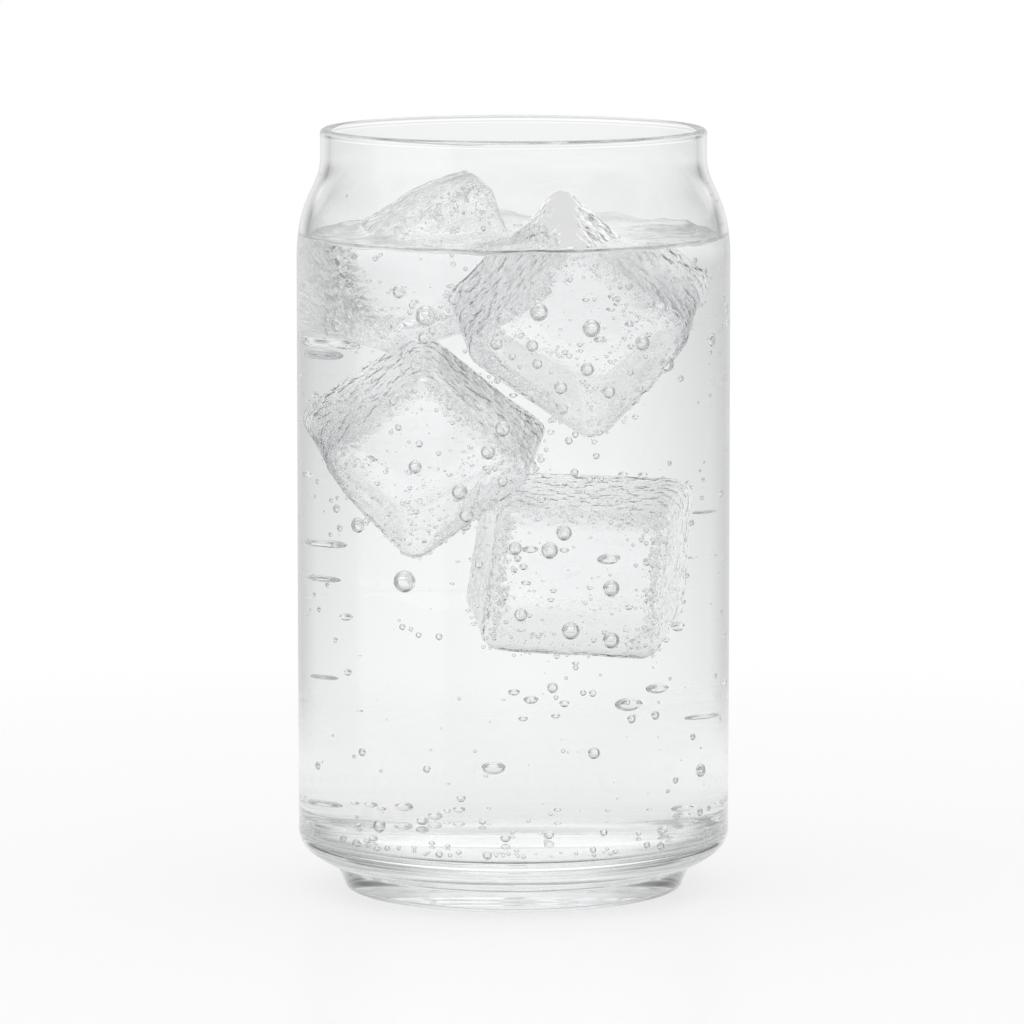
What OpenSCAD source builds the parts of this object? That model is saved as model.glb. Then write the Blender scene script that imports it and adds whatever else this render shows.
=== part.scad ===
// A can shaped drinking glass, filled with sparkling water and four ice cubes.
// Millimetres. The glass stands on its foot ring at z = 0, and its axis is +Z.
// The glass is one turned profile. What is inside takes its form from the same profile.

/* [Body] */
// Height of the glass, from the table to the top of the rim
glass_h = 134; // [124:1:160]
// Outer diameter of the straight body
body_d = 76; // [76:0.5:90]
// Thickness of the wall
wall = 1.75; // [1.3:0.05:1.9]

/* [Neck and rim] */
// Outer diameter of the neck, just under the rim
neck_d = 67.6; // [66:0.2:74]
// From the top of the rim down to the start of the shoulder
neck_h = 4.85; // [3:0.05:9]
// Height of the S-shaped shoulder, from neck to body
shoulder_h = 18.3; // [14:0.1:24]
// How far the shoulder's curve holds the line of the neck
shoulder_hold_top = 5.85; // [3:0.05:8]
// How far the shoulder's curve holds the line of the body
shoulder_hold_bottom = 12; // [6:0.1:13]
// How much thicker than the wall the fire-polished rim is
rim_swell = 0.15; // [0.05:0.05:0.8]

/* [Heel and foot] */
// Height at which the body starts to curve in to the heel
heel_h = 10.5; // [9:0.1:14]
// How far the heel's curve holds the line of the body
heel_hold = 3.9; // [2:0.1:5]
// Slope of the heel's underside where it meets the step, in degrees
step_slope = 30; // [20:1:40]
// How far the heel's curve holds that slope
step_hold = 2.9; // [1.5:0.1:4]
// Diameter at the sharp step above the foot
step_d = 62.6; // [58:0.2:66]
// Height of the step above the table
step_h = 3.95; // [3:0.05:5]
// Outer diameter of the foot, at its lower edge
foot_d = 59.8; // [54:0.2:61]
// Radius of the foot's lower outer edge
foot_edge = 0.95; // [0.4:0.05:1.5]
// Width of the flat ring on which the glass stands
bearing_w = 2.4; // [1.5:0.1:4]
// Depth of the hollow under the base, at its middle
hollow_h = 2.4; // [1:0.1:3.5]

/* [Base] */
// Height of the inside floor above the table
floor_h = 9.6; // [8:0.1:12]
// Radius of the inside corner between floor and wall
floor_round = 3.2; // [1.5:0.1:6]

/* [Contents] */
// From the top of the rim down to the surface of the water
water_gap = 19.2; // [19:0.1:30]
// Least gap between the heap of ice cubes and the inside of the glass
ice_gap = 0.45; // [0.2:0.05:3]
// How round an ice cube's edges have melted: their radius as a share of the cube's edge
ice_melt = 0.125; // [0.08:0.005:0.2]
// How far its corners reach from its middle, as a share of the cube's edge
ice_reach = 0.775; // [0.74:0.005:0.79]

/* [Hidden] */

// Steps in a long curve, in a small round of the profile, and in an ice cube's edge
CURVE_STEPS = 16;
ROUND_STEPS = 6;
ICE_STEPS = 4;
ICE_FN = 72;

GLASS_TINT = [0.86, 0.93, 0.93, 0.35];
WATER_TINT = [0.80, 0.90, 0.95, 0.45];
ICE_TINT = [0.93, 0.97, 1.00, 0.70];

body_r = body_d / 2;
inside_r = body_r - wall;
neck_r = neck_d / 2;
step_r = step_d / 2;
foot_r = foot_d / 2;
bearing_r = foot_r - foot_edge;
hollow_r = bearing_r - bearing_w;
shoulder_top = glass_h - neck_h;
shoulder_bottom = shoulder_top - shoulder_h;
water_h = glass_h - water_gap;

// The rim is a bead centred on the wall, and meets it at this angle below its equator
bead_r = (wall + rim_swell) / 2;
bead_dip = acos(wall / (wall + rim_swell));
bead_centre = [neck_r - wall / 2, glass_h - bead_r];

// Where each ice cube floats, on a scale on which the edge of the largest is 1: its middle, from
// the middle of the water's surface, its tilts, and its edge. Some have melted more than others.
ICE_PLACES = [
    [[-0.438, 0.467, -0.178], [4, -25, 6.5], 0.855],
    [[0.363, -0.402, -0.445], [25, 37.5, 21.5], 1],
    [[-0.485, -0.282, -1.273], [21, -40.5, -19], 0.93],
    [[0.324, -0.098, -2.035], [11.5, 5, 4.5], 0.965]
];

function bezier(a, b, c, d, t) =
    pow(1 - t, 3) * a + 3 * pow(1 - t, 2) * t * b + 3 * (1 - t) * t * t * c + t * t * t * d;

function curve(a, b, c, d, steps = CURVE_STEPS) =
    [for (i = [0 : steps]) bezier(a, b, c, d, i / steps)];

function arc(centre, r, from, to, steps = ROUND_STEPS) = [
    for (i = [0 : steps])
        let (angle = from + (to - from) * i / steps)
        centre + r * [cos(angle), sin(angle)]
];

// Each point moved towards the axis by d, at right angles to the line through its neighbours
function inset(points, d) = [
    for (i = [0 : len(points) - 1])
        let (before = points[max(i - 1, 0)])
        let (after = points[min(i + 1, len(points) - 1)])
        let (along = (after - before) / norm(after - before))
        points[i] + d * [-along[1], along[0]]
];

// The hollow under the base is a shallow dome: the radius of a circle through its edge and top
dome_r = (hollow_r * hollow_r + hollow_h * hollow_h) / (2 * hollow_h);
dome_angle = asin(hollow_r / dome_r);
dome = arc([0, hollow_h - dome_r], dome_r, 90, 90 - dome_angle);

foot = arc([bearing_r, foot_edge], foot_edge, 270, 360);

heel = curve(
    [step_r, step_h],
    [step_r + step_hold * cos(step_slope), step_h + step_hold * sin(step_slope)],
    [body_r, heel_h - heel_hold],
    [body_r, heel_h]
);

shoulder = curve(
    [body_r, shoulder_bottom],
    [body_r, shoulder_bottom + shoulder_hold_bottom],
    [neck_r, shoulder_top - shoulder_hold_top],
    [neck_r, shoulder_top]
);

rim = arc(bead_centre, bead_r, -bead_dip, 180 + bead_dip, 2 * ROUND_STEPS);

floor_corner = arc(
    [inside_r - floor_round, floor_h + floor_round], floor_round, 270, 360
);
inside_shoulder = inset(shoulder, wall);

// The heap of ice is as large as the glass lets it be. It grows from the middle of the water's
// surface until the first corner of a cube is ice_gap from the wall, from a cone inside the
// lower half of the shoulder, or from the floor. ice_edge is then the edge of the largest cube.
function turned(v, tilts) =
    let (a = [v[0], v[1] * cos(tilts[0]) - v[2] * sin(tilts[0]),
              v[1] * sin(tilts[0]) + v[2] * cos(tilts[0])])
    let (b = [a[0] * cos(tilts[1]) + a[2] * sin(tilts[1]), a[1],
              a[2] * cos(tilts[1]) - a[0] * sin(tilts[1])])
    [b[0] * cos(tilts[2]) - b[1] * sin(tilts[2]),
     b[0] * sin(tilts[2]) + b[1] * cos(tilts[2]), b[2]];

// Every corner as [distance from the axis, height above the water], on the same scale
ICE_CORNERS = [
    for (place = ICE_PLACES, x = [-1, 1], y = [-1, 1], z = [-1, 1])
        let (reach = place[2] * ice_reach / sqrt(3))
        let (at = place[0] + reach * turned([x, y, z], place[1]))
        [norm([at[0], at[1]]), at[2]]
];

// The largest scale that keeps every corner behind a line: room is the line's distance from the
// middle of the water's surface, and out is the unit vector from there to the line
function edge_within(room, out) = min([
    for (corner = ICE_CORNERS)
        let (reach = corner * out)
        if (reach > 0) (room - ice_gap) / reach
]);

shoulder_mid = inside_shoulder[CURVE_STEPS / 2];
shoulder_lean = atan((inside_r - shoulder_mid[0]) / (shoulder_mid[1] - shoulder_bottom));
shoulder_out = [cos(shoulder_lean), sin(shoulder_lean)];
ice_edge = min(
    edge_within(inside_r, [1, 0]),
    edge_within(([inside_r, shoulder_bottom] - [0, water_h]) * shoulder_out, shoulder_out),
    edge_within(water_h - floor_h, [0, -1])
);

// Every outline is a list of [radius, height] points
GLASS_OUTLINE = concat(
    dome, foot, heel, shoulder, rim,
    [for (i = [len(inside_shoulder) - 1 : -1 : 0]) inside_shoulder[i]],
    [for (i = [ROUND_STEPS : -1 : 0]) floor_corner[i]],
    [[0, floor_h]]
);

CAVITY_OUTLINE = concat(
    [[0, floor_h]], floor_corner, inside_shoulder, [[0, shoulder_top]]
);

module glass() {
    color(GLASS_TINT)
        rotate_extrude($fn = 96)
            polygon(GLASS_OUTLINE);
}

// Everything inside the glass up to the surface of the water
module filled_space() {
    rotate_extrude($fn = 96)
        intersection() {
            polygon(CAVITY_OUTLINE);
            square([body_r, water_h]);
        }
}

// A square bar along Z with rounded edges
module bar(edge, r) {
    corner = (edge / 2 - r) * sqrt(2);
    linear_extrude(edge, center = true)
        polygon([
            for (turn = [0 : 90 : 270])
                let (centre = corner * [cos(turn + 45), sin(turn + 45)])
                each arc(centre, r, turn, turn + 90, ICE_STEPS)
        ]);
}

// What three crossing bars share is a cube with round edges. A ball takes off its corners.
module rounded_cube(edge, r, corner_reach) {
    intersection() {
        bar(edge, r);
        rotate([90, 0, 0])
            bar(edge, r);
        rotate([0, 90, 0])
            bar(edge, r);
        sphere(corner_reach, $fn = ICE_FN);
    }
}

module ice_cube(place) {
    edge = place[2] * ice_edge;
    translate([0, 0, water_h] + place[0] * ice_edge)
        rotate(place[1])
            rounded_cube(edge, edge * ice_melt, edge * ice_reach);
}

module sparkling_water() {
    color(WATER_TINT)
        difference() {
            filled_space();
            for (place = ICE_PLACES)
                ice_cube(place);
        }
}

module ice_cube_number(n) {
    color(ICE_TINT)
        ice_cube(ICE_PLACES[n - 1]);
}

glass();
sparkling_water();
ice_cube_number(1);  // ice_cube_1
ice_cube_number(2);  // ice_cube_2
ice_cube_number(3);  // ice_cube_3
ice_cube_number(4);  // ice_cube_4
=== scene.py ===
"""Looks for the can shaped glass of sparkling water: turned glass, carved water, ice and bubbles.

Every length in this script is in millimetres until a mesh is made, which turns it into metres.
"""
import math
import random

import bmesh
import bpy
import numpy as np
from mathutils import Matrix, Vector, noise


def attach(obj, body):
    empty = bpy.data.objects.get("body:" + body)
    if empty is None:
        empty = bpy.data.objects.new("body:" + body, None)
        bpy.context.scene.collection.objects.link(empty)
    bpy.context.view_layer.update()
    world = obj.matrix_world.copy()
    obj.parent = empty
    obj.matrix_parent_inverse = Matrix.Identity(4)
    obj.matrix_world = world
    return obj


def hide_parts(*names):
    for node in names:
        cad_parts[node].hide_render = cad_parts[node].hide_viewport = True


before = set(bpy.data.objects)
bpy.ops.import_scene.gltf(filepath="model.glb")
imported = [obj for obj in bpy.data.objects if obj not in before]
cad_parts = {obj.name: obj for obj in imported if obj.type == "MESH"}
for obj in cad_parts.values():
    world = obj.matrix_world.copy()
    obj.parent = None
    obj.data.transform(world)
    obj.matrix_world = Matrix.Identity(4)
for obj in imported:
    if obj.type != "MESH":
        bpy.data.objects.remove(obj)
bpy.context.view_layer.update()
MM = 0.001

# The glass's sizes, as in part.scad
GLASS_H, BODY_D, WALL = 134.0, 76.0, 1.75
NECK_D, NECK_H, SHOULDER_H = 67.6, 4.85, 18.3
SHOULDER_HOLD_TOP, SHOULDER_HOLD_BOTTOM, RIM_SWELL = 5.85, 12.0, 0.15
HEEL_H, HEEL_HOLD, STEP_SLOPE, STEP_HOLD = 10.5, 3.9, 30.0, 2.9
STEP_D, STEP_H, FOOT_D, FOOT_EDGE = 62.6, 3.95, 59.8, 0.95
BEARING_W, HOLLOW_H, FLOOR_H, FLOOR_ROUND = 2.4, 2.4, 9.6, 3.2
WATER_H = 114.8
ICE_MELT = 0.125

BODY_R, INSIDE_R, NECK_R = BODY_D / 2, BODY_D / 2 - WALL, NECK_D / 2
SHOULDER_TOP = GLASS_H - NECK_H
SHOULDER_BOTTOM = SHOULDER_TOP - SHOULDER_H
FLOOR_CORNER = (INSIDE_R - FLOOR_ROUND, FLOOR_H + FLOOR_ROUND)

# How far the water reaches into the glass, and the ice into the water, so that light
# passes from one to the other with no film of air between
OVERLAP = 0.08
ICE_OVERLAP = 0.04

# Steps round the glass and round the water, and along the parts of their outlines
GLASS_SEGMENTS, WATER_SEGMENTS = 256, 192
DOME_STEPS, ROUND_STEPS, SHOULDER_STEPS, RIM_STEPS = 16, 24, 48, 56
# A point nearer to the axis than this lies on it
ON_AXIS = 1e-6


# Outlines, as lists of (radius, height)

def bezier(a, b, c, d, steps):
    t = np.linspace(0, 1, steps + 1)[:, None]
    a, b, c, d = (np.array(p, float) for p in (a, b, c, d))
    return (1 - t) ** 3 * a + 3 * (1 - t) ** 2 * t * b + 3 * (1 - t) * t * t * c + t ** 3 * d


def arc(centre, r, start, end, steps):
    angle = np.radians(np.linspace(start, end, steps + 1))
    return np.array(centre, float) + r * np.column_stack([np.cos(angle), np.sin(angle)])


def inset(points, d):
    """The points moved towards the axis by d, at right angles to the curve."""
    along = np.gradient(points, axis=0)
    along /= np.linalg.norm(along, axis=1)[:, None]
    return points + d * np.column_stack([-along[:, 1], along[:, 0]])


def shoulder_curve():
    return bezier(
        (BODY_R, SHOULDER_BOTTOM), (BODY_R, SHOULDER_BOTTOM + SHOULDER_HOLD_BOTTOM),
        (NECK_R, SHOULDER_TOP - SHOULDER_HOLD_TOP), (NECK_R, SHOULDER_TOP), SHOULDER_STEPS)


def glass_outline():
    bearing_r = FOOT_D / 2 - FOOT_EDGE
    hollow_r = bearing_r - BEARING_W
    dome_r = (hollow_r ** 2 + HOLLOW_H ** 2) / (2 * HOLLOW_H)
    dome_angle = math.degrees(math.asin(hollow_r / dome_r))
    dome = arc((0, HOLLOW_H - dome_r), dome_r, 90, 90 - dome_angle, DOME_STEPS)
    dome[0, 0] = 0
    foot = arc((bearing_r, FOOT_EDGE), FOOT_EDGE, 270, 360, ROUND_STEPS)
    step_r, slope = STEP_D / 2, math.radians(STEP_SLOPE)
    heel = bezier(
        (step_r, STEP_H),
        (step_r + STEP_HOLD * math.cos(slope), STEP_H + STEP_HOLD * math.sin(slope)),
        (BODY_R, HEEL_H - HEEL_HOLD), (BODY_R, HEEL_H), ROUND_STEPS)
    bead_r = (WALL + RIM_SWELL) / 2
    dip = math.degrees(math.acos(WALL / (WALL + RIM_SWELL)))
    rim = arc((NECK_R - WALL / 2, GLASS_H - bead_r), bead_r, -dip, 180 + dip, RIM_STEPS)
    shoulder = shoulder_curve()
    corner = arc(FLOOR_CORNER, FLOOR_ROUND, 270, 360, ROUND_STEPS)
    return np.vstack([
        dome, foot, heel, shoulder, rim,
        inset(shoulder, WALL)[::-1], corner[::-1], [(0, FLOOR_H)]])


def radius_at(curve, z):
    return float(np.interp(z, curve[:, 1], curve[:, 0]))


def cavity_radius(z):
    """Radius of the inside of the glass at height z, above the floor's corner."""
    return radius_at(inset(shoulder_curve(), WALL), z)


# Meshes

def mesh_object(name, points, faces, smooth=True):
    mesh = bpy.data.meshes.new(name)
    mesh.from_pydata([tuple(p) for p in np.asarray(points) * MM], [], faces)
    mesh.validate()
    mesh.update()
    if smooth:
        mesh.shade_smooth()
    piece = bpy.data.objects.new(name, mesh)
    bpy.context.scene.collection.objects.link(piece)
    return piece


def lathe(outline, segments, height=None):
    """Points and faces of an outline turned about Z. It starts and ends on the axis.

    height changes the height of each point by its place.
    """
    points, rings = [], []
    angles = np.linspace(0, 2 * math.pi, segments, endpoint=False)
    for r, z in outline:
        if r < ON_AXIS:
            rings.append([len(points)])
            points.append((0, 0, z))
            continue
        rings.append(list(range(len(points), len(points) + segments)))
        for a in angles:
            x, y = r * math.cos(a), r * math.sin(a)
            points.append((x, y, height(x, y, z) if height else z))
    faces = []
    for low, high in zip(rings, rings[1:]):
        for i in range(segments):
            j = (i + 1) % segments
            if len(low) == 1:
                faces.append((low[0], high[j], high[i]))
            elif len(high) == 1:
                faces.append((low[i], low[j], high[0]))
            else:
                faces.append((low[i], low[j], high[j], high[i]))
    return points, faces


def ico_ball(level):
    """A unit ball of triangles: its points and its faces, facing out."""
    b = bmesh.new()
    bmesh.ops.create_icosphere(b, subdivisions=level, radius=1)
    b.verts.ensure_lookup_table()
    points = np.array([v.co[:] for v in b.verts])
    faces = [tuple(v.index for v in f.verts) for f in b.faces]
    b.free()
    return points, faces


# Balls for bubbles up to a radius, from coarse to fine
BALLS = [(0.2, ico_ball(1)), (0.85, ico_ball(2)), (math.inf, ico_ball(3))]


def add_hollows(points, faces, bubbles, stretch=1.0):
    """Adds each bubble (x, y, z, r) as a hollow, its faces turned inwards and its height stretched."""
    points = [tuple(p) for p in points]
    faces = [tuple(f) for f in faces]
    for x, y, z, r in bubbles:
        ball, ball_faces = next(shape for limit, shape in BALLS if r < limit)
        start = len(points)
        points += [tuple(p) for p in ball * [r, r, r * stretch] + [x, y, z]]
        faces += [tuple(start + k for k in reversed(f)) for f in ball_faces]
    return points, faces


def bubble_radius(rng, least, spread, most):
    """Most bubbles are small, near least, and few are large."""
    return min(least + rng.expovariate(1 / spread), most)


def touches(p, r, others, gap):
    """Whether a bubble comes nearer than gap to one of the others."""
    x, y, z = p
    return any(
        (x - b[0]) ** 2 + (y - b[1]) ** 2 + (z - b[2]) ** 2 < (r + b[3] + gap) ** 2
        for b in others)


# Ice

# How square to one another two of a cube's axes are, and how alike two normals of one face
SQUARE, ALIKE = 0.2, 0.9999


class Cube:
    """Where the CAD's ice cube lies: its middle, its three axes and its edge."""

    def __init__(self, node):
        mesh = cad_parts[node].data
        normals = np.array([p.normal[:] for p in mesh.polygons])
        areas = np.array([p.area for p in mesh.polygons])
        axes = []
        while len(axes) < 3:
            free = np.ones(len(normals), bool)
            for axis in axes:
                free &= abs(normals @ axis) < SQUARE
            shares = [
                areas[free & (normals @ n > ALIKE)].sum() if f else 0
                for n, f in zip(normals, free)]
            axes.append(normals[int(np.argmax(shares))])
        self.axes = np.array(axes)
        co = np.array([v.co[:] for v in mesh.vertices]) / MM
        reach = co @ self.axes.T
        self.edge = float((reach.max(0) - reach.min(0)).mean())
        self.centre = ((reach.max(0) + reach.min(0)) / 2) @ self.axes
        self.round = self.edge * ICE_MELT

    def local(self, p):
        return self.axes @ (np.asarray(p) - self.centre)

    def world(self, q):
        return self.centre + np.asarray(q) @ self.axes

    def distance(self, p):
        """Signed distance from p to the cube's surface, less than 0 inside."""
        q = abs(self.local(p)) - (self.edge / 2 - self.round)
        return float(np.linalg.norm(np.maximum(q, 0)) + min(q.max(), 0) - self.round)


CUBES = [Cube(f"ice_cube_{n}") for n in (1, 2, 3, 4)]
# Which faces of each cube are cloudy, as directions: right, back, up
CLOUDY = [
    [(-1, 0, 0), (0, 0, 1)],
    [(-1, 0, 1), (1, 0, 1)],
    [(1, 0, 1), (-1, 0, 1)],
    [(-1, 0, 0), (1, 0, 0), (0, 0, 1)],
]
# Steps across a cube's flat faces and round its edges
FLAT_STEPS, EDGE_STEPS = 24, 6

# The melted surface of the ice: depth and size of its waves, of its lumps and of its small lumps,
# and how far it lies under the CAD's
WAVES, WAVE_SIZE = 0.16, 8.0
LUMPS, LUMP_SIZE = 0.55, 2.6
SMALL_LUMPS, SMALL_LUMP_SIZE = 0.2, 1.3
MELTED = 0.1
# How far each seed moves the noise, and what the lumps add to the cube's seed
SEED_STEPS, LUMP_SEED, SMALL_LUMP_SEED = (7.3, 3.1, 5.7), 11, 17
# How lumpy the ice is above the water and, under it, near its edges
LUMPY_ABOVE, LUMPY_EDGE = 0.75, 0.2
# Where the ice starts to count as above the water, where as an edge, and over what length
ABOVE_FROM, EDGE_FROM, BLEND = 1.5, 4.5, 3
# How grainy its edges and its cloudy faces are, and how that fades where a face turns away
FROSTY_EDGE, FROSTY_FACE, FACE_FADE, FACE_START = 0.4, 0.7, 4, 2.5

# Bubbles in each cube: how many near its edges and in each cloudy face, and their radii, as
# least, spread and most
EDGE_BUBBLES, FACE_BUBBLES = 520, 260
EDGE_BUBBLE, FACE_BUBBLE = (0.12, 0.1, 0.5), (0.16, 0.16, 0.8)
# The share of the former that lie at an edge, and how far they spread from it
AT_EDGE, EDGE_SPREAD = 0.85, 2.6
# How deep both kinds lie, how they spread, and the least ice over one
DEPTH, EDGE_DEPTH_SPREAD, FACE_DEPTH_SPREAD, LEAST_COVER = 0.75, 0.9, 1.2, 0.7
# Least gap between two bubbles in ice and between two in water
ICE_BUBBLE_GAP, BUBBLE_GAP = 0.03, 0.04
# Each step of a bubble's way to its depth goes this share of what is left, this many times
WAY, WAY_STEPS = 0.9, 6
# Where a cloudy face's bubbles stop short of its edge
FACE_MARGIN = 1


def cube_grid(edge, r):
    """Points, normals and faces of a cube with round edges, finer at its edges."""
    h = edge / 2
    line = np.concatenate([
        np.linspace(-h, -h + r, EDGE_STEPS, endpoint=False),
        np.linspace(-h + r, h - r, FLAT_STEPS, endpoint=False),
        np.linspace(h - r, h, EDGE_STEPS + 1)])
    n = len(line)
    index, points, faces = {}, [], []

    def corner(key):
        if key not in index:
            index[key] = len(points)
            points.append([line[k] for k in key])
        return index[key]

    for axis in range(3):
        u, v = (axis + 1) % 3, (axis + 2) % 3
        for side in (0, n - 1):
            for i in range(n - 1):
                for j in range(n - 1):
                    quad = []
                    for a, b in ((i, j), (i + 1, j), (i + 1, j + 1), (i, j + 1)):
                        key = [0, 0, 0]
                        key[axis], key[u], key[v] = side, a, b
                        quad.append(corner(tuple(key)))
                    faces.append(tuple(quad if side else reversed(quad)))
    p = np.array(points)
    core = np.clip(p, -h + r, h - r)
    out = p - core
    out /= np.linalg.norm(out, axis=1)[:, None]
    return core + r * out, out, faces


def noise_at(p, size, seed):
    """Noise that is another one for each seed."""
    return noise.noise(Vector(p) / size + Vector([seed * step for step in SEED_STEPS]))


def unit_share(value):
    return min(max(value, 0), 1)


def ice_points(cube, seed, cloudy):
    """The ice's surface: melted a little unevenly, and lumpy above the water and at its edges.

    Gives points, faces and how grainy each point is.
    """
    local, out, faces = cube_grid(cube.edge, cube.round)
    points, frost = [], []
    half = cube.edge / 2
    turns = [cube.axes @ np.array(direction, float) for direction in cloudy]
    sides = [np.where(abs(t) == abs(t).max(), np.sign(t), 0) for t in turns]
    for q, n in zip(local, out):
        above = unit_share((cube.world(q)[2] - WATER_H + ABOVE_FROM) / BLEND)
        edge_like = unit_share((sorted(abs(q))[1] - half + EDGE_FROM) / BLEND)
        wavy = WAVES * noise_at(q, WAVE_SIZE, seed) - MELTED
        lumps = LUMPS * abs(noise_at(q, LUMP_SIZE, seed + LUMP_SEED))
        lumps += SMALL_LUMPS * noise_at(q, SMALL_LUMP_SIZE, seed + SMALL_LUMP_SEED)
        d = wavy - lumps * (LUMPY_ABOVE * above + LUMPY_EDGE * edge_like * (1 - above))
        points.append(cube.world(q + n * d))
        cloud = max(float(side @ n) for side in sides)
        face_like = unit_share(cloud * FACE_FADE - FACE_START)
        frost.append(max(above, FROSTY_EDGE * edge_like, FROSTY_FACE * face_like))
    return np.array(points), faces, frost


def ice_bubbles(cube, seed, cloudy):
    """Tiny bubbles of air frozen in under the surface, most along edges and in cloudy faces."""
    rng = random.Random(seed)
    half = cube.edge / 2
    found = []

    def add(q, r, deeper):
        p = cube.world(q)
        want = r + DEPTH + deeper
        inward = cube.centre - p
        inward /= np.linalg.norm(inward)
        for _ in range(WAY_STEPS):
            p = p + inward * (want + cube.distance(p)) * WAY
        if -cube.distance(p) >= r + LEAST_COVER and not touches(p, r, found, ICE_BUBBLE_GAP):
            found.append((*p, r))

    for _ in range(EDGE_BUBBLES):
        q = [rng.uniform(-1, 1) * half for _ in range(3)]
        axis = rng.randrange(3)
        q[axis] = rng.choice((-1, 1)) * half
        if rng.random() < AT_EDGE:
            other = (axis + rng.choice((1, 2))) % 3
            q[other] = rng.choice((-1, 1)) * (half - abs(rng.gauss(0, EDGE_SPREAD)))
        add(q, bubble_radius(rng, *EDGE_BUBBLE), abs(rng.gauss(0, EDGE_DEPTH_SPREAD)))
    for direction in cloudy:
        turn = cube.axes @ np.array(direction)
        axis = int(np.argmax(abs(turn)))
        for _ in range(FACE_BUBBLES):
            q = [rng.uniform(-1, 1) * (half - FACE_MARGIN) for _ in range(3)]
            q[axis] = math.copysign(half, turn[axis])
            add(q, bubble_radius(rng, *FACE_BUBBLE), abs(rng.gauss(0, FACE_DEPTH_SPREAD)))
    return found


# Water

# How far the middle of the surface has sunk, and how high the water climbs the wall. The climb
# runs inwards over this length and fades by this one.
SUNK, CLIMB, CLIMB_RUN, CLIMB_FADE = 0.3, 0.8, 3.6, 1.3
CLIMB_STEPS, SURFACE_STEPS = 15, 39
# The wall's outline stops this far under the top of the climb
WALL_STOP = 0.1
# Height and size of the surface's waves and of its small waves, and how much of them stays at the
# wall, over what distance from it
SWELL, SWELL_SIZE, CHOP, CHOP_SIZE = 0.55, 9, 0.22, 3.4
SWELL_SEED, BACK_SEED = Vector((3, 1, 8)), Vector((4, 6, 2))
WAVES_AT_WALL, WALL_BLEND = 0.35, 3
# How high the water climbs the ice, how that fades, and from where on
ICE_CLIMB, ICE_CLIMB_FADE, ICE_CLIMB_REACH = 0.8, 0.9, 6
# The water stands higher at the back of the wall: from where on, over what length, how it fades
# inwards, and the mean, height and size of its waves
BACK_FROM, BACK_BLEND, BACK_FADE = 4, 14, 5
BACK_MEAN, BACK_WAVES, BACK_WAVE_SIZE = 1.1, 1.3, 7.5


def water_outline():
    """Outline of the water, OVERLAP larger than the inside of the glass, with its meniscus."""
    corner = arc(FLOOR_CORNER, FLOOR_ROUND + OVERLAP, 270, 360, ROUND_STEPS)
    inside = inset(shoulder_curve(), WALL - OVERLAP)
    level, top = WATER_H - SUNK, WATER_H + CLIMB
    wall = inside[inside[:, 1] < top - WALL_STOP]
    edge_r = radius_at(inside, top)
    run = np.linspace(0, CLIMB_RUN, CLIMB_STEPS + 1)[1:]
    rise = (CLIMB + SUNK) * np.exp(-run / CLIMB_FADE)
    surface = [(edge_r, top)] + [(edge_r - OVERLAP - x, level + d) for x, d in zip(run, rise)]
    inner_r = surface[-1][0]
    rings = [(r, level) for r in np.linspace(inner_r, 0, SURFACE_STEPS + 1)[1:]]
    return np.vstack([[(0, FLOOR_H - OVERLAP)], corner, wall, surface, rings])


def ripple(x, y, z):
    """Lifts the surface in low waves, where it meets the ice, and at the back of the wall."""
    if z < WATER_H - 2 * SUNK:
        return z
    p = Vector((x, y, 0))
    lift = SWELL * noise.noise(p / SWELL_SIZE + SWELL_SEED) + CHOP * noise.noise(p / CHOP_SIZE)
    for cube in CUBES[:2]:
        d = cube.distance((x, y, WATER_H))
        if d < ICE_CLIMB_REACH:
            lift += ICE_CLIMB * math.exp(-max(d, 0) / ICE_CLIMB_FADE)
    edge = cavity_radius(z) - math.hypot(x, y)
    calm = WAVES_AT_WALL + (1 - WAVES_AT_WALL) * unit_share(edge / WALL_BLEND)
    far = unit_share((y - BACK_FROM) / BACK_BLEND) * math.exp(-max(edge, 0) / BACK_FADE)
    swell = BACK_MEAN + BACK_WAVES * noise.noise(p / BACK_WAVE_SIZE + BACK_SEED)
    return z + lift * calm + far * swell


def carve(piece, cutters):
    """Cuts the cutters out of the piece, and deletes them."""
    for cutter in cutters:
        cut = piece.modifiers.new("cut", "BOOLEAN")
        cut.operation = "DIFFERENCE"
        cut.solver = "MANIFOLD"
        cut.object = cutter
    bpy.context.view_layer.update()
    shape = piece.evaluated_get(bpy.context.evaluated_depsgraph_get())
    mesh = bpy.data.meshes.new_from_object(shape)
    piece.modifiers.clear()
    old, piece.data = piece.data, mesh
    bpy.data.meshes.remove(old)
    for cutter in cutters:
        bpy.data.objects.remove(cutter)


# The largest bubbles on the inside of the glass: degrees round from the right, height and radius
LARGE_BUBBLES = [
    (-115, 104, 1.9), (-83, 105, 1.6), (-68, 102, 1.6), (-123, 108, 1.2), (-52, 99, 1.4),
    (-43, 95, 1.4), (-77, 92, 1.2), (-63, 91, 1.2), (-118, 78, 1.2), (-105, 74, 1.4),
    (-103, 70, 1.3), (-93, 85, 1.4), (-97, 81, 1.3), (-138, 67, 1.4), (-122, 58, 2.0),
    (-76, 67, 1.4), (-80, 64, 1.5), (-62, 57, 1.5), (-88, 53, 1.2), (-74, 50, 1.6),
    (-62, 48, 1.5), (-27, 23, 1.2), (-130, 15, 1.2),
]
# How many groups of middling bubbles sit on the inside of the glass, how far a group spreads, and
# how many bubbles it may have
GROUPS, GROUP_SPREAD, GROUP_SIZES = 120, 2.3, (1, 1, 2, 3, 4)
# How many bubbles lie on the floor, round its edge, on each cube, on the wall and free in the water
ON_FLOOR, ROUND_FLOOR, ON_CUBES, ON_WALL, RISING = 30, 130, (110, 170, 150, 130), 260, 60
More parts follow.
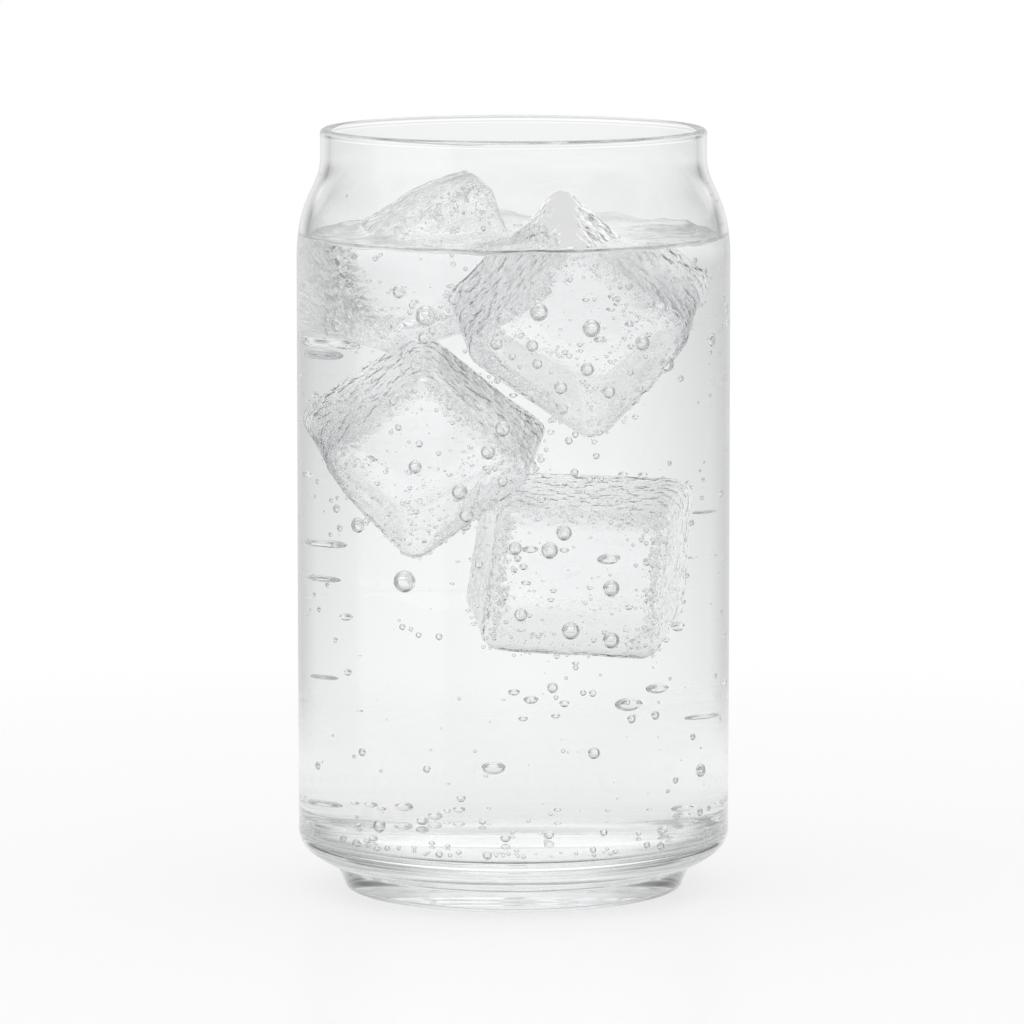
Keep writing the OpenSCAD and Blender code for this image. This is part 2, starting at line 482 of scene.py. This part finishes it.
# The water's bubbles are drawn from this seed
WATER_SEED = 2207
# The share of those on the cubes that lie at an edge
ON_CUBE_EDGE = 0.6
# Radii of each kind of bubble: least, spread and most, or for the floor least and most
GROUP_BUBBLE, ROUND_FLOOR_BUBBLE, CUBE_BUBBLE = (0.42, 0.28, 1.2), (0.2, 0.22, 0.84), (0.13, 0.17, 1.3)
WALL_BUBBLE, RISING_BUBBLE, FLOOR_BUBBLE = (0.12, 0.15, 0.7), (0.12, 0.18, 0.7), (0.35, 0.8)
# Gap between a bubble and the wall, floor or ice it sits on, and the least gap that is kept
SEAT, ICE_SEAT, LEAST_GAP, LEAST_ICE_GAP = 0.08, 0.16, 0.06, 0.12
# Bubbles stay this far under the surface, and those that rise keep within this radius and these heights
UNDER_SURFACE, RISING_R, RISING_LOW, RISING_HIGH = 1.3, 34, 12, 112
# Bubbles on the wall keep this far above the floor and under the surface, and those round the
# floor's edge between these heights above it
WALL_LOW, WALL_HIGH, CORNER_LOW, CORNER_HIGH = 4, 2, 1.1, 2.2


def fits(p, r):
    """Whether a bubble lies in the water, clear of the walls and of the ice."""
    x, y, z = p
    radius = math.hypot(x, y)
    if z + r > WATER_H - UNDER_SURFACE or z - r < FLOOR_H + LEAST_GAP:
        return False
    corner_r, low = FLOOR_CORNER
    if z >= low:
        in_walls = radius + r <= cavity_radius(max(z, SHOULDER_BOTTOM)) - LEAST_GAP
    else:
        reach = math.hypot(radius - corner_r, z - low) + r
        in_walls = radius <= corner_r or reach <= FLOOR_ROUND - LEAST_GAP
    return in_walls and all(cube.distance(p) > r + LEAST_ICE_GAP for cube in CUBES)


def add_to(bubbles, p, r):
    """Keeps a bubble if it fits and is clear of the others."""
    if fits(p, r) and not touches(p, r, bubbles, BUBBLE_GAP):
        bubbles.append((*p, r))


def on_wall(angle, z, r):
    """Middle of a bubble that sits on the inside of the glass at this angle and height."""
    corner_r, low = FLOOR_CORNER
    reach = cavity_radius(max(z, SHOULDER_BOTTOM)) - r - SEAT
    if z < low:
        round_r = FLOOR_ROUND - r - SEAT
        reach = corner_r + round_r * math.cos(math.asin(min((low - z) / round_r, 1)))
    return reach * math.cos(math.radians(angle)), reach * math.sin(math.radians(angle)), z


def wall_height(rng):
    return rng.uniform(FLOOR_H + WALL_LOW, WATER_H - WALL_HIGH)


def add_wall_groups(found, rng):
    for _ in range(GROUPS):
        a, z = rng.uniform(0, 360), wall_height(rng)
        for _ in range(rng.choice(GROUP_SIZES)):
            turn = math.degrees(rng.gauss(0, GROUP_SPREAD) / INSIDE_R)
            r = bubble_radius(rng, *GROUP_BUBBLE)
            add_to(found, on_wall(a + turn, z + rng.gauss(0, GROUP_SPREAD), r), r)


def add_floor_bubbles(found, rng):
    for _ in range(ON_FLOOR):
        a, reach = rng.uniform(0, 2 * math.pi), FLOOR_CORNER[0] * math.sqrt(rng.random())
        r = rng.uniform(*FLOOR_BUBBLE)
        add_to(found, (reach * math.cos(a), reach * math.sin(a), FLOOR_H + r + SEAT), r)
    for _ in range(ROUND_FLOOR):
        a = rng.uniform(0, 360)
        r = bubble_radius(rng, *ROUND_FLOOR_BUBBLE)
        add_to(found, on_wall(a, rng.uniform(FLOOR_H + CORNER_LOW, FLOOR_H + CORNER_HIGH), r), r)


def add_cube_bubbles(found, rng, cube, count):
    half = cube.edge / 2
    for _ in range(count):
        q = [rng.uniform(-1, 1) * half for _ in range(3)]
        axis = rng.randrange(3)
        q[axis] = rng.choice((-1, 1)) * half
        if rng.random() < ON_CUBE_EDGE:
            other = (axis + rng.choice((1, 2))) % 3
            q[other] = rng.choice((-1, 1)) * half
        r = bubble_radius(rng, *CUBE_BUBBLE)
        p = cube.world(q)
        away = p - cube.centre
        away /= np.linalg.norm(away)
        for _ in range(WAY_STEPS):
            p = p + away * (r + ICE_SEAT - cube.distance(p))
        add_to(found, tuple(p), r)


def water_bubbles():
    rng = random.Random(WATER_SEED)
    found = []
    for angle, z, r in LARGE_BUBBLES:
        add_to(found, on_wall(angle, z, r), r)
    add_wall_groups(found, rng)
    add_floor_bubbles(found, rng)
    for cube, count in zip(CUBES, ON_CUBES):
        add_cube_bubbles(found, rng, cube, count)
    for _ in range(ON_WALL):
        a, z = rng.uniform(0, 360), wall_height(rng)
        r = bubble_radius(rng, *WALL_BUBBLE)
        add_to(found, on_wall(a, z, r), r)
    for _ in range(RISING):
        a, reach = rng.uniform(0, 2 * math.pi), RISING_R * math.sqrt(rng.random())
        r = bubble_radius(rng, *RISING_BUBBLE)
        z = rng.uniform(RISING_LOW, RISING_HIGH)
        add_to(found, (reach * math.cos(a), reach * math.sin(a), z), r)
    return found


# Materials

# Colour, refractive index, and size and depth of the faint unevenness of each material. The ice
# bends light more than real ice, as only so do the cubes stand out from the water.
GLASS_LOOK = (0.992, 0.994, 0.994), 1.5, 24, 0.02
ICE_LOOK = (0.995, 0.996, 0.998), 1.5, 5, 0.03
WATER_LOOK = (0.995, 0.997, 0.998), 1.333, 30, 0.01
# Size, detail and depth of the grain on frosty ice
FROST_SIZE, FROST_DETAIL, FROST_DEPTH = 1.7, 2, 0.55


def new_material(name):
    material = bpy.data.materials.new(name)
    material.use_nodes = True
    nodes = material.node_tree.nodes
    nodes.clear()
    out = nodes.new("ShaderNodeOutputMaterial")
    shader = nodes.new("ShaderNodeBsdfPrincipled")
    material.node_tree.links.new(shader.outputs[0], out.inputs["Surface"])
    return material, material.node_tree, shader


def bumps(tree, size, detail, depth):
    """A bump node for noise of this size, from object coordinates, in metres."""
    place = tree.nodes.new("ShaderNodeTexCoord")
    texture = tree.nodes.new("ShaderNodeTexNoise")
    texture.inputs["Scale"].default_value = 1 / (size * MM)
    texture.inputs["Detail"].default_value = detail
    bump = tree.nodes.new("ShaderNodeBump")
    bump.inputs["Distance"].default_value = depth * MM
    bump.inputs["Strength"].default_value = 1
    tree.links.new(place.outputs["Object"], texture.inputs["Vector"])
    tree.links.new(texture.outputs["Fac"], bump.inputs["Height"])
    return bump


def clear_material(name, colour, ior, bump_size, bump_depth):
    """A clear shader with a faint unevenness. Gives the material, its tree, shader and bump."""
    material, tree, shader = new_material(name)
    shader.inputs["Base Color"].default_value = (*colour, 1)
    shader.inputs["IOR"].default_value = ior
    shader.inputs["Roughness"].default_value = 0
    shader.inputs["Transmission Weight"].default_value = 1
    bump = bumps(tree, bump_size, 1, bump_depth)
    tree.links.new(bump.outputs["Normal"], shader.inputs["Normal"])
    return material, tree, shader, bump


def ice_material():
    """Clear ice, grainy where the mesh's frost attribute says so."""
    material, tree, shader, bump = clear_material("clear_ice", *ICE_LOOK)
    grain = bumps(tree, FROST_SIZE, FROST_DETAIL, FROST_DEPTH)
    frost = tree.nodes.new("ShaderNodeAttribute")
    frost.attribute_name = "frost"
    tree.links.new(frost.outputs["Fac"], grain.inputs["Strength"])
    tree.links.new(bump.outputs["Normal"], grain.inputs["Normal"])
    tree.links.new(grain.outputs["Normal"], shader.inputs["Normal"])
    return material


def dress(piece, material, node):
    piece.data.materials.clear()
    piece.data.materials.append(material)
    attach(piece, "root")
    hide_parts(node)


# Building

# Tiny bubbles in the glass itself: degrees round from the right, height and radius
SEEDS = [
    (187, 126.0, 0.28), (-9, 124.6, 0.2), (-12, 122.6, 0.22), (-8, 121.4, 0.26), (-11, 117.6, 0.24),
    (4, 119.5, 0.2), (150, 121, 0.2), (-122, 90, 0.2), (31, 60, 0.22),
]
# How much longer than wide they are, upwards
SEED_STRETCH = 1.4
# Edges sharper than this many degrees stay sharp
GLASS_SHARP, WATER_SHARP = 8, 35
# The cubes' bubbles are drawn from this seed and the cube's number
ICE_SEED = 40


def build_glass():
    points, faces = lathe(glass_outline(), GLASS_SEGMENTS)
    middle = inset(shoulder_curve(), WALL / 2)
    seeds = []
    for degrees, z, r in SEEDS:
        reach, angle = radius_at(middle, z), math.radians(degrees)
        seeds.append((reach * math.cos(angle), reach * math.sin(angle), z, r))
    points, faces = add_hollows(points, faces, seeds, SEED_STRETCH)
    piece = mesh_object("drinking_glass", points, faces)
    piece.data.set_sharp_from_angle(angle=math.radians(GLASS_SHARP))
    dress(piece, clear_material("clear_glass", *GLASS_LOOK)[0], "glass")


def build_ice():
    """Builds the cubes, and gives the slightly smaller ones that cut their room in the water."""
    cutters = []
    material = ice_material()
    for number, (cube, cloudy) in enumerate(zip(CUBES, CLOUDY), 1):
        points, faces, frost = ice_points(cube, number, cloudy)
        cutter = mesh_object(f"cut_{number}", points, faces)
        normals = np.array([v.normal[:] for v in cutter.data.vertices])
        smaller = points - ICE_OVERLAP * normals
        for vertex, p in zip(cutter.data.vertices, smaller):
            vertex.co = p * MM
        cutters.append(cutter)
        points, faces = add_hollows(points, faces, ice_bubbles(cube, ICE_SEED + number, cloudy))
        piece = mesh_object(f"ice_{number}", points, faces)
        layer = piece.data.attributes.new("frost", "FLOAT", "POINT")
        layer.data.foreach_set("value", frost + [0] * (len(piece.data.vertices) - len(frost)))
        dress(piece, material, f"ice_cube_{number}")
    return cutters


def build_water(cutters):
    points, faces = lathe(water_outline(), WATER_SEGMENTS, ripple)
    piece = mesh_object("water", points, faces)
    carve(piece, cutters)
    mesh = piece.data
    points = np.array([v.co[:] for v in mesh.vertices]) / MM
    faces = [tuple(p.vertices) for p in mesh.polygons]
    points, faces = add_hollows(points, faces, water_bubbles())
    bpy.data.objects.remove(piece)
    bpy.data.meshes.remove(mesh)
    piece = mesh_object("sparkling_water_body", points, faces)
    piece.data.set_sharp_from_angle(angle=math.radians(WATER_SHARP))
    dress(piece, clear_material("water", *WATER_LOOK)[0], "sparkling_water")


# Studio

# The studio as it is seen through the glass. Each profile gives the brightness by the angle to
# either side of straight behind, and lies between its stops elsewhere.
UNDER_TABLE = [(0, 0.65)]
TABLE = [(0, 1.1), (40, 0.6)]
HORIZON = [(0, 1.0), (43, 0.9), (58, 0.6)]
# A bright backdrop between two black flags, with the dim room beyond them
FLAGGED = [(0, 0.85), (14, 0.8), (28, 0.35), (44, 0.05), (62, 0.3), (85, 0.65), (180, 0.75)]
# The bright gap across the flags
GAP = [(0, 1.05), (14, 1.2), (28, 1.0), (44, 0.3), (62, 0.35), (85, 0.6), (180, 0.8)]
ABOVE_FLAGS = [(0, 0.85), (28, 0.7), (44, 0.4), (85, 0.7), (180, 0.3)]
CEILING = [(0, 1.05)]
# The profile at each elevation
SKY = [
    (-30, UNDER_TABLE), (-14, TABLE), (-7.5, HORIZON), (0, FLAGGED), (4, FLAGGED), (8, GAP),
    (12, GAP), (17, FLAGGED), (25, FLAGGED), (34, ABOVE_FLAGS), (60, CEILING),
]
# What surfaces mirror, by the angle to the right of straight behind
REFLECTED = [
    (-180, 0.75), (-146, 0.75), (-140, 1.50), (-92, 1.50), (-86, 0.75), (180, 0.75),
]
# The studio's light is a trace cooler than white
COOL = (1, 1.003, 1.006)

# The floor: radii of its rings, colour, gloss, how much of it is plain white, and where it fades
FLOOR_RINGS, FLOOR_SEGMENTS = (150, 320), 96
FLOOR_COLOUR, FLOOR_ROUGHNESS, FLOOR_SPECULAR = (0.97, 0.97, 0.97), 0.28, 0.2
FLOOR_WHITE = 0.72
FADE_FROM, FADE_TO = 120, 300

# The camera: its place to the right, back and up, its tilt down, and its lens
CAMERA_PLACE, CAMERA_TILT = (-0.26, -1259, 222), 7.05
SENSOR, LENS = 36, 253.4
# It sees from this far to this far
NEAREST, FARTHEST = 50, 50000
# Light is mirrored many times inside the base before it comes out
BOUNCES, CLEAR_BOUNCES = 96, 16


def build_world():
    world = bpy.data.worlds.new("studio")
    bpy.context.scene.world = world
    world.use_nodes = True
    tree = world.node_tree
    nodes, links = tree.nodes, tree.links
    nodes.clear()

    def calc(operation, *values):
        node = nodes.new("ShaderNodeMath")
        node.operation = operation
        for socket, value in zip(node.inputs, values):
            if isinstance(value, (int, float)):
                socket.default_value = value
            else:
                links.new(value, socket)
        return node.outputs[0]

    def by_angle(value, stops, least, most):
        """The brightness of the stops at an angle, with value its share of least to most degrees."""
        ramp = nodes.new("ShaderNodeValToRGB")
        links.new(value, ramp.inputs[0])
        elements = ramp.color_ramp.elements
        elements.remove(elements[1])
        for k, (degrees, level) in enumerate(stops):
            share = (degrees - least) / (most - least)
            stop = elements.new(share) if k else elements[0]
            stop.position = share
            stop.color = (*(level * tint for tint in COOL), 1)
        return ramp.outputs["Color"]

    def blend(share, low, high):
        mix = nodes.new("ShaderNodeMix")
        mix.data_type = "RGBA"
        links.new(share, mix.inputs["Factor"])
        links.new(low, mix.inputs["A"])
        if isinstance(high, tuple):
            mix.inputs["B"].default_value = high
        else:
            links.new(high, mix.inputs["B"])
        return mix.outputs["Result"]

    place = nodes.new("ShaderNodeTexCoord")
    split = nodes.new("ShaderNodeSeparateXYZ")
    links.new(place.outputs["Generated"], split.inputs[0])
    azimuth = calc("ARCTAN2", split.outputs["X"], split.outputs["Y"])
    to_side = calc("DIVIDE", calc("ABSOLUTE", azimuth), math.pi)
    around = calc("ADD", calc("DIVIDE", azimuth, 2 * math.pi), 0.5)
    elevation = calc("ARCSINE", split.outputs["Z"])
    seen = by_angle(to_side, SKY[0][1], 0, 180)
    for (low, _), (high, stops) in zip(SKY, SKY[1:]):
        step = nodes.new("ShaderNodeMapRange")
        step.inputs["From Min"].default_value = math.radians(low)
        step.inputs["From Max"].default_value = math.radians(high)
        links.new(elevation, step.inputs["Value"])
        seen = blend(step.outputs[0], seen, by_angle(to_side, stops, 0, 180))

    # The camera and the floor see plain white
    path = nodes.new("ShaderNodeLightPath")
    mirrored = by_angle(around, REFLECTED, -180, 180)
    shiny = blend(path.outputs["Is Transmission Ray"], mirrored, seen)
    plain = calc("MAXIMUM", path.outputs["Is Camera Ray"], path.outputs["Is Diffuse Ray"])
    background = nodes.new("ShaderNodeBackground")
    links.new(blend(plain, shiny, (1, 1, 1, 1)), background.inputs["Color"])
    background.inputs["Strength"].default_value = 1
    out = nodes.new("ShaderNodeOutputWorld")
    links.new(background.outputs[0], out.inputs["Surface"])


def floor_material():
    """White that keeps the glass's shadow, and fades into the backdrop away from it.

    Seen through the glass it is only lit, and has no white of its own.
    """
    material, tree, shader = new_material("studio_floor")
    nodes, links = tree.nodes, tree.links
    shader.inputs["Base Color"].default_value = (*FLOOR_COLOUR, 1)
    shader.inputs["Roughness"].default_value = FLOOR_ROUGHNESS
    shader.inputs["Specular IOR Level"].default_value = FLOOR_SPECULAR

    path = nodes.new("ShaderNodeLightPath")
    white_share = nodes.new("ShaderNodeMath")
    white_share.operation = "MULTIPLY_ADD"
    white_share.inputs[1].default_value = -FLOOR_WHITE
    white_share.inputs[2].default_value = FLOOR_WHITE
    links.new(path.outputs["Is Transmission Ray"], white_share.inputs[0])
    white = nodes.new("ShaderNodeEmission")
    lit = nodes.new("ShaderNodeMixShader")
    links.new(white_share.outputs[0], lit.inputs[0])
    links.new(shader.outputs[0], lit.inputs[1])
    links.new(white.outputs[0], lit.inputs[2])

    place = nodes.new("ShaderNodeTexCoord")
    length = nodes.new("ShaderNodeVectorMath")
    length.operation = "LENGTH"
    links.new(place.outputs["Object"], length.inputs[0])
    fade = nodes.new("ShaderNodeMapRange")
    fade.interpolation_type = "SMOOTHSTEP"
    fade.inputs["From Min"].default_value = FADE_FROM * MM
    fade.inputs["From Max"].default_value = FADE_TO * MM
    links.new(length.outputs["Value"], fade.inputs["Value"])
    clear = nodes.new("ShaderNodeBsdfTransparent")
    faded = nodes.new("ShaderNodeMixShader")
    links.new(fade.outputs[0], faded.inputs[0])
    links.new(lit.outputs[0], faded.inputs[1])
    links.new(clear.outputs[0], faded.inputs[2])
    links.new(faded.outputs[0], nodes["Material Output"].inputs["Surface"])
    return material


def build_floor():
    points, faces = [(0, 0, 0)], []
    n = FLOOR_SEGMENTS
    for r in FLOOR_RINGS:
        for k in range(n):
            turn = 2 * math.pi * k / n
            points.append((r * math.cos(turn), r * math.sin(turn), 0))
    for k in range(n):
        j = (k + 1) % n
        faces.append((0, 1 + k, 1 + j))
        faces.append((1 + k, 1 + n + k, 1 + n + j, 1 + j))
    floor = mesh_object("studio_floor", points, faces, smooth=False)
    floor.data.materials.append(floor_material())


def build_camera():
    data = bpy.data.cameras.new("camera")
    data.sensor_width = SENSOR
    data.lens = LENS
    data.clip_start = NEAREST * MM
    data.clip_end = FARTHEST * MM
    camera = bpy.data.objects.new("camera", data)
    camera.location = [v * MM for v in CAMERA_PLACE]
    camera.rotation_euler = (math.radians(90 - CAMERA_TILT), 0, 0)
    bpy.context.scene.collection.objects.link(camera)
    bpy.context.scene.camera = camera


def set_render():
    scene = bpy.context.scene
    scene.view_settings.view_transform = "Standard"
    scene.cycles.max_bounces = BOUNCES
    scene.cycles.transmission_bounces = BOUNCES
    scene.cycles.glossy_bounces = BOUNCES
    scene.cycles.transparent_max_bounces = CLEAR_BOUNCES


build_glass()
build_water(build_ice())
build_floor()
build_world()
build_camera()
set_render()
